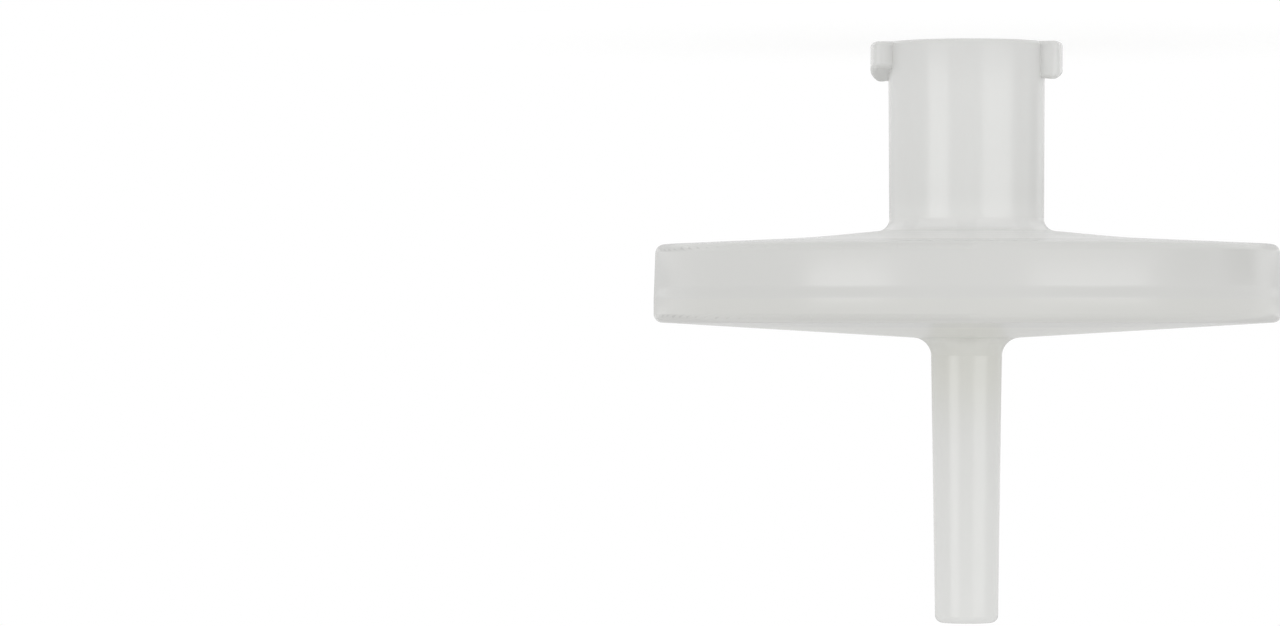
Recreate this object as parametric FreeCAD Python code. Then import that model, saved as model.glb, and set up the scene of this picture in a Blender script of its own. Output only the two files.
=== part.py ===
import FreeCAD, Part
import math
import os

# Syringe filter, 25 mm class, in milky polypropylene: an inlet half with a female luer lock,
# a filter membrane, and an outlet half with a slim tapered tube. The halves are welded at
# the rim and clamp the membrane between them.
#
# Lengths are in millimetres and angles in degrees. The filter stands on its inlet end:
# z = 0 is that end face, +Z runs along the axis towards the outlet, and the two lock lugs
# lie along X. Outlines are drawn in the (radius, z) half plane and turned about Z.

# Luer socket
SOCKET_MOUTH_DIAMETER = 4.30
SOCKET_TAPER = 0.06
SOCKET_DEPTH = 7.50
SOCKET_MOUTH_CHAMFER = 0.12

# Hub round the socket
HUB_WALL = 1.03
HUB_DRAFT = 0.35
HUB_END_CHAMFER = 0.10
HUB_ROOT_BELOW_SOCKET = 0.12
HUB_ROOT_FILLET = 0.50

# Lock lugs, with undersides that follow the lead of the double lock thread
LUG_COUNT = 2
LUG_PROJECTION = 0.72
LUG_THICKNESS = 1.32
LUG_ARC = 42.0
LUG_LEAD = 5.00
LUG_CORNER_ROUND = 0.30
LUG_EDGE_ROUND = 0.20

# Conical cap of the inlet half
RIM_DIAMETER = 25.40
CAP_SLOPE = 2.6
SHOULDER_SLOPE = 5.6
SHOULDER_DIAMETER = 12.80
SHOULDER_BLEND_RADIUS = 40.0
CAP_WALL = 1.10
RIM_DRAFT = 2.0
RIM_CORNER_ROUND = 0.35

# Inlet chamber
INLET_PASSAGE_DIAMETER = 2.00
SOCKET_FLOOR_WALL = 1.20
CHAMBER_HEIGHT = 0.60
CHAMBER_DRAFT = 5.0
CAP_RIB_FIRST_RADIUS = 3.10
CAP_RIB_WIDTH = 0.50
CAP_RIB_MEMBRANE_GAP = 0.15

# Ribs on both sides of the membrane, and the radial channels through them
RIB_PITCH = 1.20
RIB_EDGE_GAP = 0.20
RIB_ROOT_DEPTH = 0.20
CHANNEL_COUNT = 8
CHANNEL_WIDTH = 0.80

# Rim stack, from the outside of the rim inwards
SKIRT_WALL = 1.90
SKIRT_CLEARANCE = 0.15
MEMBRANE_MARGIN = 0.35
CLAMP_MARGIN = 1.00
CLAMP_WIDTH = 0.70
CLAMP_RELIEF = 0.25
PLATEAU_HEIGHT = 0.50
FLANGE_HEIGHT = 0.92

# Membrane
MEMBRANE_THICKNESS = 0.20

# Support grid of the outlet half
SUPPORT_INSET = 0.20
SUPPORT_HEIGHT = 0.36
DRAIN_SLOPE = 1.0
SUPPORT_FIRST_RADIUS = 1.85
SUPPORT_RIB_WIDTH = 0.60

# Conical base and outlet tube
BASE_SLOPE = 3.4
TUBE_ROOT_FILLET = 0.75
TUBE_LENGTH = 11.52
TUBE_DRAFT = 0.83
TUBE_TIP_WALL = 0.73
TUBE_TIP_ROUND = 0.30
OUTLET_BORE_DIAMETER = 1.10
BORE_TIP_CHAMFER = 0.10


CENTRE = FreeCAD.Vector(0, 0, 0)
UP = FreeCAD.Vector(0, 0, 1)


def rise(run, slope):
    """Height that a line of this slope gains over a run."""
    return run * math.tan(math.radians(slope))


# Radii of the rim stack
RIM_RADIUS = RIM_DIAMETER / 2
SKIRT_RADIUS = RIM_RADIUS - SKIRT_WALL
LAND_RADIUS = SKIRT_RADIUS - SKIRT_CLEARANCE
MEMBRANE_RADIUS = LAND_RADIUS - MEMBRANE_MARGIN
CLAMP_OUTER_RADIUS = MEMBRANE_RADIUS - CLAMP_MARGIN
CHAMBER_RADIUS = CLAMP_OUTER_RADIUS - CLAMP_WIDTH
SUPPORT_RADIUS = CHAMBER_RADIUS - SUPPORT_INSET

# Radii of the socket, the hub and the tube
SOCKET_MOUTH_RADIUS = SOCKET_MOUTH_DIAMETER / 2
SOCKET_FLOOR_RADIUS = SOCKET_MOUTH_RADIUS - SOCKET_DEPTH * SOCKET_TAPER / 2
HUB_RADIUS = SOCKET_MOUTH_RADIUS + HUB_WALL
HUB_ROOT_Z = SOCKET_DEPTH + HUB_ROOT_BELOW_SOCKET
HUB_ROOT_RADIUS = HUB_RADIUS - rise(HUB_ROOT_Z, HUB_DRAFT)
LUG_RADIUS = HUB_RADIUS + LUG_PROJECTION
PASSAGE_RADIUS = INLET_PASSAGE_DIAMETER / 2
SHOULDER_RADIUS = SHOULDER_DIAMETER / 2
BORE_RADIUS = OUTLET_BORE_DIAMETER / 2
TUBE_TIP_RADIUS = BORE_RADIUS + TUBE_TIP_WALL
TUBE_ROOT_RADIUS = TUBE_TIP_RADIUS + rise(TUBE_LENGTH, TUBE_DRAFT)

# Levels along the axis, from the inlet end to the outlet tip
SHOULDER_Z = HUB_ROOT_Z + rise(SHOULDER_RADIUS - HUB_ROOT_RADIUS, SHOULDER_SLOPE)
RIM_TOP_Z = SHOULDER_Z + rise(RIM_RADIUS - SHOULDER_RADIUS, CAP_SLOPE)
CEILING_EDGE_Z = RIM_TOP_Z - rise(RIM_RADIUS - CHAMBER_RADIUS, CAP_SLOPE) + CAP_WALL
CEILING_CENTRE_Z = SOCKET_DEPTH + SOCKET_FLOOR_WALL
MEMBRANE_INLET_Z = CEILING_EDGE_Z + CHAMBER_HEIGHT
MEMBRANE_OUTLET_Z = MEMBRANE_INLET_Z + MEMBRANE_THICKNESS
JOINT_Z = MEMBRANE_OUTLET_Z + PLATEAU_HEIGHT
RIM_BOTTOM_Z = JOINT_Z + FLANGE_HEIGHT
TUBE_ROOT_Z = RIM_BOTTOM_Z + rise(RIM_RADIUS - TUBE_ROOT_RADIUS, BASE_SLOPE)
TUBE_TIP_Z = TUBE_ROOT_Z + TUBE_LENGTH
SUPPORT_EDGE_Z = MEMBRANE_OUTLET_Z + SUPPORT_HEIGHT


def ceiling_z(radius):
    """Level of the chamber's ceiling, a flat cone from the passage to the chamber wall."""
    share = (radius - PASSAGE_RADIUS) / (CHAMBER_RADIUS - PASSAGE_RADIUS)
    return CEILING_CENTRE_Z + share * (CEILING_EDGE_Z - CEILING_CENTRE_Z)


def drain_z(radius):
    """Level of the drain floor under the support grid, which falls towards the outlet."""
    return SUPPORT_EDGE_Z + rise(SUPPORT_RADIUS - radius, DRAIN_SLOPE)


def rib_radii(first, width, outer):
    """Middle radii of the concentric ribs that fit inside an outer radius."""
    room = outer - RIB_EDGE_GAP - width / 2 - first
    count = int(math.floor(room / RIB_PITCH)) + 1
    return [first + i * RIB_PITCH for i in range(count)]


def corner(radius, z, rounding=0, chamfer=0):
    """Corner of an outline, left sharp, rounded to a radius or cut back by a chamfer."""
    return FreeCAD.Vector(radius, 0, z), rounding, chamfer


def turned(outline):
    """Solid of revolution about Z of a closed outline of corners."""
    points = [point for point, _, _ in outline]
    edges = []
    starts = []
    ends = []
    for i, (point, rounding, chamfer) in enumerate(outline):
        back = (points[i - 1] - point).normalize()
        ahead = (points[(i + 1) % len(points)] - point).normalize()
        half = back.getAngle(ahead) / 2
        reach = rounding / math.tan(half) + chamfer
        starts.append(point + back * reach)
        ends.append(point + ahead * reach)
        if rounding:
            depth = rounding / math.sin(half) - rounding
            middle = point + (back + ahead).normalize() * depth
            edges.append(Part.Arc(starts[i], middle, ends[i]).toShape())
        if chamfer:
            edges.append(Part.LineSegment(starts[i], ends[i]).toShape())
    for i in range(len(outline)):
        edges.append(Part.LineSegment(ends[i - 1], starts[i]).toShape())
    wire = Part.Wire(Part.__sortEdges__(edges))
    return Part.Face(wire).revolve(CENTRE, UP, 360)


def channel_cutters():
    """Radial bars, as tall as the filter, that clear the channels through the ribs."""
    bars = []
    for i in range(CHANNEL_COUNT):
        bar = Part.makeBox(
            CHAMBER_RADIUS, CHANNEL_WIDTH, TUBE_TIP_Z, FreeCAD.Vector(0, -CHANNEL_WIDTH / 2, 0)
        )
        bar.rotate(CENTRE, UP, i * 360 / CHANNEL_COUNT)
        bars.append(bar)
    return bars


def rib_ring(radius, width, root_z, crest_z):
    """Concentric rib between its root and its crest, cut through by the radial channels."""
    ring = turned([
        corner(radius - width / 2, root_z),
        corner(radius + width / 2, root_z),
        corner(radius + width / 2, crest_z),
        corner(radius - width / 2, crest_z),
    ])
    return ring.cut(channel_cutters())


def outer_edges(lug, upright):
    """Edges of a lug that reach past the hub: its upright corners, or those of its two ends."""
    chosen = []
    for edge in lug.Edges:
        reach = max(math.hypot(vertex.X, vertex.Y) for vertex in edge.Vertexes)
        span = edge.Vertexes[-1].Point - edge.Vertexes[0].Point
        climbs = abs(span.z) > math.hypot(span.x, span.y)
        if reach > HUB_RADIUS and climbs == upright:
            chosen.append(edge)
    return chosen


def lock_lug():
    """Lug along +X, rooted in the hub's wall, whose underside tilts with the thread's lead."""
    root_radius = (SOCKET_MOUTH_RADIUS + HUB_RADIUS) / 2
    lead_angle = math.degrees(math.atan(LUG_LEAD / (2 * math.pi * LUG_RADIUS)))
    sector = Part.makeCylinder(LUG_RADIUS, 2 * LUG_THICKNESS, CENTRE, UP, LUG_ARC)
    sector.rotate(CENTRE, UP, -LUG_ARC / 2)
    span = 4 * LUG_RADIUS
    beyond = Part.makeBox(span, span, span, FreeCAD.Vector(-span / 2, -span / 2, 0))
    beyond.rotate(CENTRE, FreeCAD.Vector(1, 0, 0), lead_angle)
    beyond.translate(FreeCAD.Vector(0, 0, LUG_THICKNESS))
    lug = sector.cut([beyond, Part.makeCylinder(root_radius, 2 * LUG_THICKNESS)])
    lug = lug.makeFillet(LUG_CORNER_ROUND, outer_edges(lug, upright=True))
    return lug.makeFillet(LUG_EDGE_ROUND, outer_edges(lug, upright=False))


def inlet_housing():
    """Inlet half: hub, luer socket, lugs, conical cap, ribbed chamber, clamp ridge and skirt."""
    chamber_wall = rise(CHAMBER_HEIGHT, CHAMBER_DRAFT)
    rim_top_radius = RIM_RADIUS - rise(JOINT_Z - RIM_TOP_Z, RIM_DRAFT)
    relief_z = MEMBRANE_INLET_Z - CLAMP_RELIEF
    body = turned([
        corner(SOCKET_MOUTH_RADIUS, 0, chamfer=SOCKET_MOUTH_CHAMFER),
        corner(HUB_RADIUS, 0, chamfer=HUB_END_CHAMFER),
        corner(HUB_ROOT_RADIUS, HUB_ROOT_Z, rounding=HUB_ROOT_FILLET),
        corner(SHOULDER_RADIUS, SHOULDER_Z, rounding=SHOULDER_BLEND_RADIUS),
        corner(rim_top_radius, RIM_TOP_Z, rounding=RIM_CORNER_ROUND),
        corner(RIM_RADIUS, JOINT_Z),
        corner(SKIRT_RADIUS, JOINT_Z),
        corner(SKIRT_RADIUS, relief_z),
        corner(CLAMP_OUTER_RADIUS, relief_z),
        corner(CLAMP_OUTER_RADIUS, MEMBRANE_INLET_Z),
        corner(CHAMBER_RADIUS, MEMBRANE_INLET_Z),
        corner(CHAMBER_RADIUS - chamber_wall, CEILING_EDGE_Z),
        corner(PASSAGE_RADIUS, CEILING_CENTRE_Z),
        corner(PASSAGE_RADIUS, SOCKET_DEPTH),
        corner(SOCKET_FLOOR_RADIUS, SOCKET_DEPTH),
    ])
    features = []
    crest_z = MEMBRANE_INLET_Z - CAP_RIB_MEMBRANE_GAP
    for radius in rib_radii(CAP_RIB_FIRST_RADIUS, CAP_RIB_WIDTH, CHAMBER_RADIUS):
        root_z = ceiling_z(radius) - RIB_ROOT_DEPTH
        features.append(rib_ring(radius, CAP_RIB_WIDTH, root_z, crest_z))
    for i in range(LUG_COUNT):
        lug = lock_lug()
        lug.rotate(CENTRE, UP, i * 360 / LUG_COUNT)
        features.append(lug)
    return body.fuse(features).removeSplitter()


def membrane():
    """Thin round membrane, gripped near its edge."""
    return Part.makeCylinder(
        MEMBRANE_RADIUS, MEMBRANE_THICKNESS, FreeCAD.Vector(0, 0, MEMBRANE_INLET_Z)
    )


def support_grid():
    """Ribs that carry the membrane over the drain floor."""
    rings = []
    for radius in rib_radii(SUPPORT_FIRST_RADIUS, SUPPORT_RIB_WIDTH, SUPPORT_RADIUS):
        root_z = drain_z(radius) + RIB_ROOT_DEPTH
        rings.append(rib_ring(radius, SUPPORT_RIB_WIDTH, root_z, MEMBRANE_OUTLET_Z))
    return rings


def outlet_housing():
    """Outlet half: support grid, sealing land, welded flange, conical base and outlet tube."""
    body = turned([
        corner(BORE_RADIUS, drain_z(BORE_RADIUS)),
        corner(SUPPORT_RADIUS, SUPPORT_EDGE_Z),
        corner(SUPPORT_RADIUS, MEMBRANE_OUTLET_Z),
        corner(LAND_RADIUS, MEMBRANE_OUTLET_Z),
        corner(LAND_RADIUS, JOINT_Z),
        corner(RIM_RADIUS, JOINT_Z),
        corner(RIM_RADIUS, RIM_BOTTOM_Z, rounding=RIM_CORNER_ROUND),
        corner(TUBE_ROOT_RADIUS, TUBE_ROOT_Z, rounding=TUBE_ROOT_FILLET),
        corner(TUBE_TIP_RADIUS, TUBE_TIP_Z, rounding=TUBE_TIP_ROUND),
        corner(BORE_RADIUS, TUBE_TIP_Z, chamfer=BORE_TIP_CHAMFER),
    ])
    return body.fuse(support_grid()).removeSplitter()


os.makedirs("parts", exist_ok=True)
for name, solid in (
    ("inlet_housing", inlet_housing()),
    ("membrane", membrane()),
    ("outlet_housing", outlet_housing()),
):
    solid.exportStep(f"parts/{name}.step")
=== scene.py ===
import math

import bpy
from mathutils import Matrix, Vector


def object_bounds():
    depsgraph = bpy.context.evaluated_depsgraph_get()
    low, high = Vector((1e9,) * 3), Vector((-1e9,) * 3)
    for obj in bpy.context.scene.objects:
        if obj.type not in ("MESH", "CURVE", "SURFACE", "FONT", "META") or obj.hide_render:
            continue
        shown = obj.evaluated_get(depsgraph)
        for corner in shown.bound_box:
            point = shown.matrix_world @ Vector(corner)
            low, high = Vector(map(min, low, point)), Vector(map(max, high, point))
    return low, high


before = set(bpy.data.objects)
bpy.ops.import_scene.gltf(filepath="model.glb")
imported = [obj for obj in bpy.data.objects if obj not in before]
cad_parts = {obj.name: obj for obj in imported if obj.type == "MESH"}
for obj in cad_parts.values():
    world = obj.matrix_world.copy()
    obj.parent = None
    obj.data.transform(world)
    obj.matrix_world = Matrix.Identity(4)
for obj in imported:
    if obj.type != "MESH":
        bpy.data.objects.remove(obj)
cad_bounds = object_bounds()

# Looks of a syringe filter in milky polypropylene. The filter stands on its luer lock end,
# with the outlet tube up. Lengths are in metres and angles in degrees. The camera hangs
# upside down, so the picture shows the filter with its luer lock end up.

MM = 0.001

# Camera: how far its line of sight is turned from +Y, and how it frames the filter.
# Blender takes the lens and the sensor in millimetres.
CAMERA_YAW = 3.46
CAMERA_DISTANCE = 219.6 * MM
CAMERA_HEIGHT = 10.99 * MM
CAMERA_NEAR_LIMIT = 1 * MM
CAMERA_LENS = 151.9
CAMERA_SENSOR = 36.0

# Lamps: how far and how tall they are, and the height of their middle. Then for each lamp its
# name, turn (see turned_from_camera), width as an angle from the filter, and radiance.
LAMP_DISTANCE = 0.60
LAMP_HEIGHT = 0.12
LAMP_MIDDLE = 0.015
LAMPS = (
    ("left_softbox", -46.0, 32.0, 2.6),
    ("right_softbox", 43.0, 46.0, 2.1),
)

# Light of the surround from above and from below, and the half height of the band at the
# horizon in which one turns into the other. A straight up direction has a height of 1.
SKY_LIGHT = 0.76
UNDER_LIGHT = 0.88
HORIZON = 0.02

# Grey cards beside and behind the filter, which the camera doesn't see. In their place the
# surround would lighten the edges and the cones of the filter too much by its reflection.
# Name, turn, width as an angle from the filter, heights of the lower and upper edge, and shade.
CARD_DISTANCE = 0.25
BACK_SHADE = 0.64
CARD_UNEVENNESS = 0.02
CARDS = (
    ("low_side_card", 84.0, 18.0, -60 * MM, 0 * MM, 0.42),
    ("side_card", 113.0, 22.0, -60 * MM, 9 * MM, 0.30),
    ("upper_back_card", 180.0, 80.0, 39 * MM, 190 * MM, BACK_SHADE),
    ("lower_back_card", 180.0, 80.0, -170 * MM, -17 * MM, BACK_SHADE),
    ("rim_back_card", 180.0, 80.0, -2 * MM, 22 * MM, 0.68),
)

# Floor. To the eye, one share of it takes light and shadow and the rest glows white. To the
# light rays, another share takes light and the rest fills the filter's underside.
FLOOR_RADIUS = 28 * MM
FLOOR_CORNERS = 128
FLOOR_GAP = 0.02 * MM
FLOOR_COLOURS = ((0.84, 0.84, 0.84), (0.88, 0.88, 0.88))
FLOOR_SHADE_SHARE = 0.35
FLOOR_GLOW = 1.20
FLOOR_LIT_SHARE = 0.20
FLOOR_FILL = 0.88

# Noise textures: features in a metre, detail, and roughness where it isn't 0.5
CLOUD_NOISE = (220, 3)
SMEAR_NOISE = (700, 2)
SKIN_NOISE = (5200, 4, 0.6)
FILM_NOISE = (9000, 5, 0.7)
FLOOR_NOISE = (60, 3)
CARD_NOISE = (40, 3)

# Relief in the surfaces: depth and strength
SMEAR_RELIEF = (0.02 * MM, 0.25)
SKIN_RELIEF = (0.004 * MM, 0.3)
FILM_RELIEF = (0.03 * MM, 0.6)

# Plastic of both halves: how much light goes through it, and its deepest cloud
CLARITY = 0.12
ROUGHNESS = 0.22
REFRACTIVE_INDEX = 1.49
CLOUD = (0.965, 0.965, 0.965)

# Colours of the two halves: of the faces, the hub and the tube by height, and of the rim.
# The inlet's paler stops at 7.4 and 7.8 mm are painted light at the hub's foot, in the shade
# under the disc. The outlet's deeper colour on its face and at the root of the tube is partly
# its tint and partly painted shade in the crease there. The rims' deeper colours are painted
# shade of the thick solid rim. The faces turn into the rim between RIM_RADII from the axis.
RIM_RADII = (9.0 * MM, 9.7 * MM)
INLET_STOPS_WITH_PAINTED_LIGHT = (
    (6.0 * MM, (0.872, 0.874, 0.859)),
    (7.4 * MM, (0.936, 0.937, 0.922)),
    (7.8 * MM, (0.915, 0.917, 0.900)),
    (8.6 * MM, (0.883, 0.886, 0.862)),
)
INLET_RIM_WITH_PAINTED_SHADE = (0.783, 0.784, 0.764)
OUTLET_STOPS_WITH_PAINTED_SHADE = (
    (13.0 * MM, (0.850, 0.850, 0.804)),
    (16.4 * MM, (0.886, 0.888, 0.870)),
)
OUTLET_RIM_WITH_PAINTED_SHADE = (0.788, 0.788, 0.760)

# Ribs and channels in the disc show faintly through its faces: the gaps between them get
# painted shade, which stands in for the ribs seen through the plastic. Their sizes are those
# of the part's source. For each half, the radius of its first rib, and the heights where the
# painted shade begins and where it is full.
RIB_PITCH = 1.20 * MM
CHANNEL_HALF_WIDTH = 0.40 * MM
CHANNEL_BLUR = 0.12 * MM
CHAMBER_RADIUS = 8.60 * MM
CHAMBER_BLUR = 0.10 * MM
GAP_SHADE = (0.960, 0.962, 0.960)
INLET_RIBS = (3.10 * MM, 7.0 * MM, 7.5 * MM)
OUTLET_RIBS = (1.85 * MM, 12.9 * MM, 12.4 * MM)

# Wall of the rim, crowned a little on both halves, with a shallow step in the skirt. For each
# half, the height of the crown's middle and the radius of its curve. The relief comes in
# between RIM_WALL_RADII from the axis.
RIM_WALL_RADII = (12.45 * MM, 12.60 * MM)
INLET_CROWN = (9.25 * MM, 15.0 * MM)
OUTLET_CROWN = (10.08 * MM, 6.7 * MM)
STEP_HEIGHTS = (9.89 * MM, 10.44 * MM)
STEP_DEPTH = 0.045 * MM

# Membrane: limits of its colour and roughness, and how far each colour scatters in it
FILM_COLOURS = ((0.80, 0.80, 0.77), (0.90, 0.90, 0.87))
FILM_ROUGHNESS = (0.75, 0.95)
FILM_SCATTER = (1.0, 1.0, 0.94)
FILM_SCATTER_DEPTH = 1.0 * MM


def node_tree(owner, output_type="ShaderNodeOutputMaterial"):
    """Empty node tree of a material or world, with the socket that takes its shader."""
    owner.use_nodes = True
    tree = owner.node_tree
    tree.nodes.clear()
    return tree, tree.nodes.new(output_type).inputs["Surface"]


def feed(tree, source, socket):
    """Links a socket to another one, or gives it a value."""
    if isinstance(source, bpy.types.NodeSocket):
        tree.links.new(source, socket)
    else:
        socket.default_value = source


def object_place(tree):
    """Coordinates of the point on the surface."""
    return tree.nodes.new("ShaderNodeTexCoord").outputs["Object"]


def noise(tree, place, scale, detail, roughness=0.5):
    """Noise texture whose features are about 1 / scale metres wide."""
    texture = tree.nodes.new("ShaderNodeTexNoise")
    texture.inputs["Scale"].default_value = scale
    texture.inputs["Detail"].default_value = detail
    texture.inputs["Roughness"].default_value = roughness
    tree.links.new(place, texture.inputs["Vector"])
    return texture.outputs["Fac"]


def spread(tree, value, low, high, start=0.0, end=1.0):
    """Value from start to end, brought to the range from low to high."""
    mapped = tree.nodes.new("ShaderNodeMapRange")
    mapped.inputs["From Min"].default_value = start
    mapped.inputs["From Max"].default_value = end
    mapped.inputs["To Min"].default_value = low
    mapped.inputs["To Max"].default_value = high
    tree.links.new(value, mapped.inputs["Value"])
    return mapped.outputs["Result"]


def between(tree, value, start, end):
    """Share that goes smoothly from 0 at the start value to 1 at the end value."""
    share = tree.nodes.new("ShaderNodeMapRange")
    share.interpolation_type = "SMOOTHSTEP"
    share.inputs["From Min"].default_value = start
    share.inputs["From Max"].default_value = end
    tree.links.new(value, share.inputs["Value"])
    return share.outputs["Result"]


def calculate(tree, operation, *values):
    """Math node on one or two values, each a socket or a number."""
    node = tree.nodes.new("ShaderNodeMath")
    node.operation = operation
    for value, socket in zip(values, node.inputs):
        feed(tree, value, socket)
    return node.outputs["Value"]


def blend(tree, share, way="MIX"):
    """Colour mix by a share from 0 to 1, with its two inputs still free."""
    mix = tree.nodes.new("ShaderNodeMix")
    mix.data_type = "RGBA"
    mix.blend_type = way
    tree.links.new(share, mix.inputs[0])
    return mix.inputs[6], mix.inputs[7], mix.outputs[2]


def mixed_colour(tree, share, first, second):
    """Colour between two colours, by a share from 0 to 1."""
    low, high, colour = blend(tree, share)
    low.default_value = (*first, 1)
    high.default_value = (*second, 1)
    return colour


def bump(tree, height, distance, strength, under=None):
    """Bump of a given depth, laid over another one if there is one."""
    node = tree.nodes.new("ShaderNodeBump")
    node.inputs["Distance"].default_value = distance
    feed(tree, strength, node.inputs["Strength"])
    tree.links.new(height, node.inputs["Height"])
    if under is not None:
        tree.links.new(under, node.inputs["Normal"])
    return node.outputs["Normal"]


def split(tree, vector):
    """X, Y and Z of a vector."""
    parts = tree.nodes.new("ShaderNodeSeparateXYZ")
    tree.links.new(vector, parts.inputs["Vector"])
    return parts.outputs["X"], parts.outputs["Y"], parts.outputs["Z"]


def away_from_axis(tree, place):
    """Distance from the Z axis."""
    flat = tree.nodes.new("ShaderNodeVectorMath")
    flat.operation = "MULTIPLY"
    flat.inputs[1].default_value = (1, 1, 0)
    tree.links.new(place, flat.inputs[0])
    length = tree.nodes.new("ShaderNodeVectorMath")
    length.operation = "LENGTH"
    tree.links.new(flat.outputs["Vector"], length.inputs[0])
    return length.outputs["Value"]


def glowing(tree, strength):
    """White light given off by a surface."""
    glow = tree.nodes.new("ShaderNodeEmission")
    feed(tree, strength, glow.inputs["Strength"])
    return glow.outputs["Emission"]


def mixed_shader(tree, share, first, second):
    """Shader between two shaders, by a share from 0 to 1."""
    mix = tree.nodes.new("ShaderNodeMixShader")
    feed(tree, share, mix.inputs["Fac"])
    tree.links.new(first, mix.inputs[1])
    tree.links.new(second, mix.inputs[2])
    return mix.outputs["Shader"]


def seen_directly(tree):
    """1 for rays from the camera, a reflection or a refraction, and 0 for those of the light."""
    path = tree.nodes.new("ShaderNodeLightPath")
    total = path.outputs["Is Camera Ray"]
    for name in ("Is Glossy Ray", "Is Transmission Ray"):
        total = calculate(tree, "MAXIMUM", total, path.outputs[name])
    return total


def painted_gap_shade_share(tree, place, first_rib, start, end):
    """Painted shade share: 1 where the chamber behind the face has no rib, between ribs and in
    channels.
    """
    x, y, z = split(tree, place)
    rings = tree.nodes.new("ShaderNodeTexWave")
    rings.wave_type = "RINGS"
    rings.rings_direction = "Z"
    # At a scale of 1 the rings are pi / 10 apart. The phase brings the texture to 0 on each rib.
    rings.inputs["Scale"].default_value = math.pi / 10 / RIB_PITCH
    rings.inputs["Phase Offset"].default_value = -2 * math.pi * first_rib / RIB_PITCH
    tree.links.new(place, rings.inputs["Vector"])
    # Eight channels lie along the axes and the diagonals
    across = calculate(tree, "ABSOLUTE", x)
    along = calculate(tree, "ABSOLUTE", y)
    to_axis = calculate(tree, "MINIMUM", across, along)
    apart = calculate(tree, "ABSOLUTE", calculate(tree, "SUBTRACT", across, along))
    to_diagonal = calculate(tree, "MULTIPLY", apart, math.sqrt(0.5))
    nearest = calculate(tree, "MINIMUM", to_axis, to_diagonal)
    channels = between(
        tree, nearest, CHANNEL_HALF_WIDTH + CHANNEL_BLUR, CHANNEL_HALF_WIDTH - CHANNEL_BLUR
    )
    gaps = calculate(tree, "MAXIMUM", rings.outputs["Fac"], channels)
    # The pattern ends inside the first rib, at the chamber's wall, and towards the hub or tube
    radius = away_from_axis(tree, place)
    from_first_rib = (first_rib - RIB_PITCH / 2, first_rib)
    inside_wall = (CHAMBER_RADIUS + CHAMBER_BLUR, CHAMBER_RADIUS - CHAMBER_BLUR)
    gaps = calculate(tree, "MULTIPLY", gaps, between(tree, radius, *from_first_rib))
    gaps = calculate(tree, "MULTIPLY", gaps, between(tree, radius, *inside_wall))
    return calculate(tree, "MULTIPLY", gaps, between(tree, z, start, end))


def along_axis(tree, height, stops):
    """Colour that changes smoothly with the height, between stops of a height and a colour."""
    top = cad_bounds[1][2]
    ramp = tree.nodes.new("ShaderNodeValToRGB")
    ramp.color_ramp.interpolation = "EASE"
    elements = ramp.color_ramp.elements
    elements.remove(elements[1])
    for i, (level, colour) in enumerate(stops):
        element = elements.new(level / top) if i else elements[0]
        element.position = level / top
        element.color = (*colour, 1)
    tree.links.new(calculate(tree, "DIVIDE", height, top), ramp.inputs["Fac"])
    return ramp.outputs["Color"]


def tone_with_painted_light(tree, place, stops, rim, ribs):
    """Colour by height, with painted light and shade in it, and painted shade over rib gaps and
    on the rim.
    """
    height = split(tree, place)[2]
    # Painted shade over the gaps between ribs, for the ribs seen through the face
    plain, shade, face = blend(tree, painted_gap_shade_share(tree, place, *ribs), "MULTIPLY")
    tree.links.new(along_axis(tree, height, stops), plain)
    shade.default_value = (*GAP_SHADE, 1)
    # The rim's deeper colour is painted shade of its thick solid plastic
    in_rim = between(tree, away_from_axis(tree, place), *RIM_RADII)
    inner, outer, colour = blend(tree, in_rim)
    tree.links.new(face, inner)
    outer.default_value = (*rim, 1)
    return colour


def rim_wall(tree, place, middle, crown_radius):
    """Normal of the rim's wall with its slight crown and shallow step, plain elsewhere."""
    height = split(tree, place)[2]
    off_middle = calculate(tree, "SUBTRACT", height, middle)
    squared = calculate(tree, "MULTIPLY", off_middle, off_middle)
    # A curve falls off by the square over twice its radius
    crown = calculate(tree, "MULTIPLY", squared, -0.5 / crown_radius)
    past_step = between(tree, height, *STEP_HEIGHTS)
    step = calculate(tree, "MULTIPLY", past_step, -STEP_DEPTH)
    on_wall = between(tree, away_from_axis(tree, place), *RIM_WALL_RADII)
    # The height is in metres. The strength limits it, because a masked height has a steep edge.
    return bump(tree, calculate(tree, "ADD", crown, step), 1, on_wall)


def milky_plastic(name, stops, rim, ribs, crown):
    """Natural polypropylene: cloudy, slightly translucent, with a fine satin skin."""
    material = bpy.data.materials.new(name)
    tree, shown = node_tree(material)
    place = object_place(tree)
    cloud = noise(tree, place, *CLOUD_NOISE)
    smear = noise(tree, place, *SMEAR_NOISE)
    skin = noise(tree, place, *SKIN_NOISE)
    surface = tree.nodes.new("ShaderNodeBsdfPrincipled")
    clear, cloudy, colour = blend(tree, cloud, "MULTIPLY")
    # Base colour with painted light at the hub's foot, and painted shade at the tube's root,
    # over the rib gaps and on the rim
    tree.links.new(tone_with_painted_light(tree, place, stops, rim, ribs), clear)
    cloudy.default_value = (*CLOUD, 1)
    tree.links.new(colour, surface.inputs["Base Color"])
    wall = rim_wall(tree, place, *crown)
    ripple = bump(tree, smear, *SMEAR_RELIEF, wall)
    tree.links.new(bump(tree, skin, *SKIN_RELIEF, ripple), surface.inputs["Normal"])
    surface.inputs["Roughness"].default_value = ROUGHNESS
    surface.inputs["IOR"].default_value = REFRACTIVE_INDEX
    surface.inputs["Transmission Weight"].default_value = CLARITY
    tree.links.new(surface.outputs["BSDF"], shown)
    return material


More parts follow.
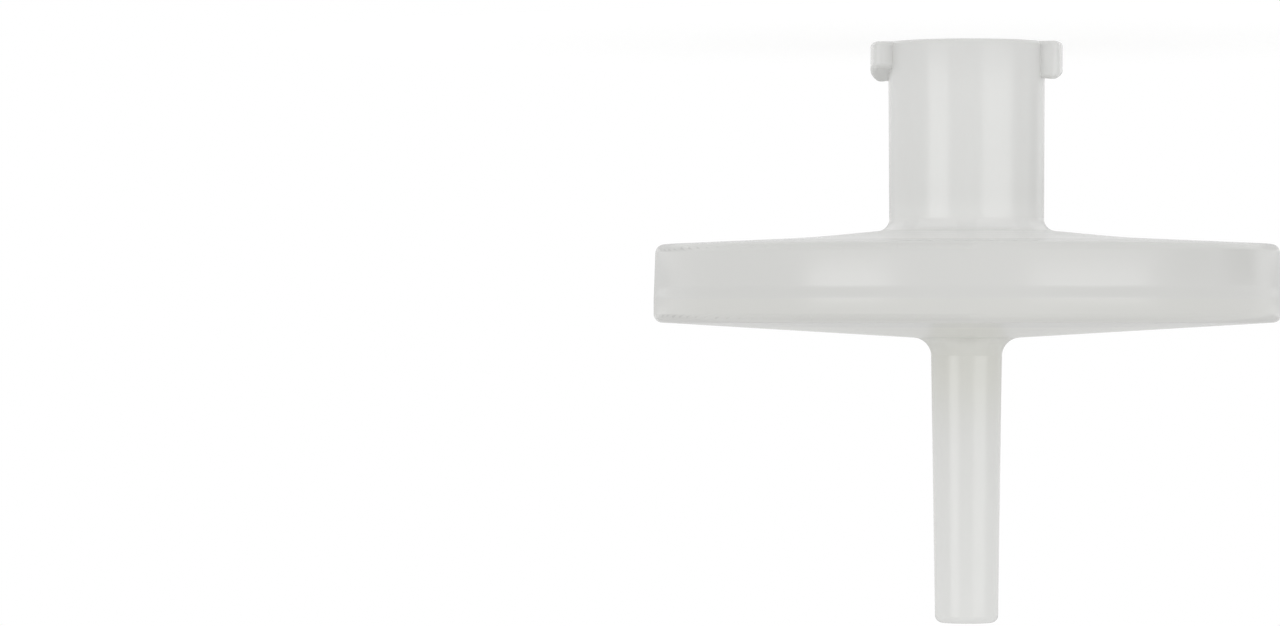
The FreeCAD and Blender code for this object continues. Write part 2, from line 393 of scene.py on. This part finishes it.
def filter_film(name):
    """White porous membrane, dull, with a fine grain."""
    material = bpy.data.materials.new(name)
    tree, shown = node_tree(material)
    grain = noise(tree, object_place(tree), *FILM_NOISE)
    surface = tree.nodes.new("ShaderNodeBsdfPrincipled")
    tree.links.new(mixed_colour(tree, grain, *FILM_COLOURS), surface.inputs["Base Color"])
    tree.links.new(spread(tree, grain, *FILM_ROUGHNESS), surface.inputs["Roughness"])
    tree.links.new(bump(tree, grain, *FILM_RELIEF), surface.inputs["Normal"])
    surface.inputs["Subsurface Weight"].default_value = 1.0
    surface.inputs["Subsurface Radius"].default_value = FILM_SCATTER
    surface.inputs["Subsurface Scale"].default_value = FILM_SCATTER_DEPTH
    tree.links.new(surface.outputs["BSDF"], shown)
    return material


def floor_material():
    """Pale floor that looks white, keeps part of the filter's shadow and is clear from below."""
    material = bpy.data.materials.new("pale_floor")
    tree, shown = node_tree(material)
    grain = noise(tree, object_place(tree), *FLOOR_NOISE)
    matte = tree.nodes.new("ShaderNodeBsdfDiffuse")
    tree.links.new(mixed_colour(tree, grain, *FLOOR_COLOURS), matte.inputs["Color"])
    shaded = matte.outputs["BSDF"]
    to_eye = mixed_shader(tree, FLOOR_SHADE_SHARE, glowing(tree, FLOOR_GLOW), shaded)
    to_light = mixed_shader(tree, FLOOR_LIT_SHARE, glowing(tree, FLOOR_FILL), shaded)
    upper_side = mixed_shader(tree, seen_directly(tree), to_light, to_eye)
    below = tree.nodes.new("ShaderNodeNewGeometry").outputs["Backfacing"]
    clear = tree.nodes.new("ShaderNodeBsdfTransparent").outputs["BSDF"]
    tree.links.new(mixed_shader(tree, below, upper_side, clear), shown)
    return material


def make_floor():
    """Round level floor, a hair under the filter so that the two faces don't coincide."""
    bpy.ops.mesh.primitive_circle_add(
        vertices=FLOOR_CORNERS, radius=FLOOR_RADIUS, fill_type="NGON"
    )
    floor = bpy.context.object
    floor.name = "floor"
    floor.location.z = -FLOOR_GAP
    floor.data.materials.append(floor_material())


def surround(tree, strength):
    """White light of the world, of a given strength."""
    light = tree.nodes.new("ShaderNodeBackground")
    light.inputs["Color"].default_value = (1, 1, 1, 1)
    feed(tree, strength, light.inputs["Strength"])
    return light.outputs["Background"]


def make_world():
    """White background, and a soft light that is a little stronger from below."""
    world = bpy.data.worlds.new("studio")
    bpy.context.scene.world = world
    tree, shown = node_tree(world, "ShaderNodeOutputWorld")
    direction = tree.nodes.new("ShaderNodeTexCoord").outputs["Generated"]
    height = split(tree, direction)[2]
    strength = spread(tree, height, UNDER_LIGHT, SKY_LIGHT, -HORIZON, HORIZON)
    light = surround(tree, strength)
    white = surround(tree, 1.0)
    tree.links.new(mixed_shader(tree, seen_directly(tree), light, white), shown)


def turned_from_camera(turn, distance, height):
    """Point at a distance from the filter's axis and at a height.

    With no turn it lies where the camera's line of sight comes from. A turn takes it round
    the axis, to the right in the picture.
    """
    angle = math.radians(CAMERA_YAW + turn)
    return Vector((-math.sin(angle) * distance, -math.cos(angle) * distance, height))


def width_at(distance, angle):
    """Width of something at a distance that spans an angle."""
    return 2 * distance * math.tan(math.radians(angle / 2))


def softbox(name, turn, angle, radiance):
    """Tall soft lamp beside the camera, which faces the filter."""
    width = width_at(LAMP_DISTANCE, angle)
    lamp = bpy.data.lights.new(name, "AREA")
    lamp.shape = "RECTANGLE"
    lamp.size = width
    lamp.size_y = LAMP_HEIGHT
    lamp.energy = radiance * math.pi * width * LAMP_HEIGHT
    holder = bpy.data.objects.new(name, lamp)
    bpy.context.collection.objects.link(holder)
    holder.location = turned_from_camera(turn, LAMP_DISTANCE, LAMP_MIDDLE)
    aim = Vector((0, 0, CAMERA_HEIGHT)) - holder.location
    holder.rotation_euler = aim.to_track_quat("-Z", "Y").to_euler()


def card_material(name, shade):
    """Grey that glows, and so needs no light on it."""
    material = bpy.data.materials.new(name)
    tree, shown = node_tree(material)
    grain = noise(tree, object_place(tree), *CARD_NOISE)
    strength = spread(tree, grain, shade - CARD_UNEVENNESS, shade + CARD_UNEVENNESS)
    tree.links.new(glowing(tree, strength), shown)
    return material


def make_card(name, turn, angle, bottom, top, shade):
    """Upright card that faces the filter, which the camera doesn't see."""
    bpy.ops.mesh.primitive_plane_add(size=1)
    card = bpy.context.object
    card.name = name
    card.scale = (width_at(CARD_DISTANCE, angle), top - bottom, 1)
    card.location = turned_from_camera(turn, CARD_DISTANCE, (bottom + top) / 2)
    aim = Vector((-card.location.x, -card.location.y, 0))
    card.rotation_euler = aim.to_track_quat("Z", "Y").to_euler()
    card.data.materials.append(card_material(name, shade))
    card.visible_camera = False


def make_camera():
    """Level camera, rolled half a turn, on the side of the filter that faces -Y."""
    yaw = math.radians(CAMERA_YAW)
    forward = Vector((math.sin(yaw), math.cos(yaw), 0))
    up = Vector((0, 0, -1))
    right = forward.cross(up)
    data = bpy.data.cameras.new("camera")
    data.sensor_width = CAMERA_SENSOR
    data.lens = CAMERA_LENS
    data.clip_start = CAMERA_NEAR_LIMIT
    camera = bpy.data.objects.new("camera", data)
    bpy.context.collection.objects.link(camera)
    turn = Matrix((right, up, -forward)).transposed().to_4x4()
    camera.matrix_world = Matrix.Translation((0, -CAMERA_DISTANCE, CAMERA_HEIGHT)) @ turn
    bpy.context.scene.camera = camera


def dress(node, material):
    """Gives a CAD node its material, in a material slot of its own."""
    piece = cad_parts[node]
    piece.data.materials.clear()
    piece.data.materials.append(material)


inlet = milky_plastic("inlet_plastic", INLET_STOPS_WITH_PAINTED_LIGHT, INLET_RIM_WITH_PAINTED_SHADE, INLET_RIBS, INLET_CROWN)
outlet = milky_plastic("outlet_plastic", OUTLET_STOPS_WITH_PAINTED_SHADE, OUTLET_RIM_WITH_PAINTED_SHADE, OUTLET_RIBS, OUTLET_CROWN)
dress("inlet_housing", inlet)
dress("outlet_housing", outlet)
dress("membrane", filter_film("membrane_film"))
make_floor()
make_world()
for lamp in LAMPS:
    softbox(*lamp)
for card in CARDS:
    make_card(*card)
make_camera()
bpy.context.scene.view_settings.view_transform = "Standard"
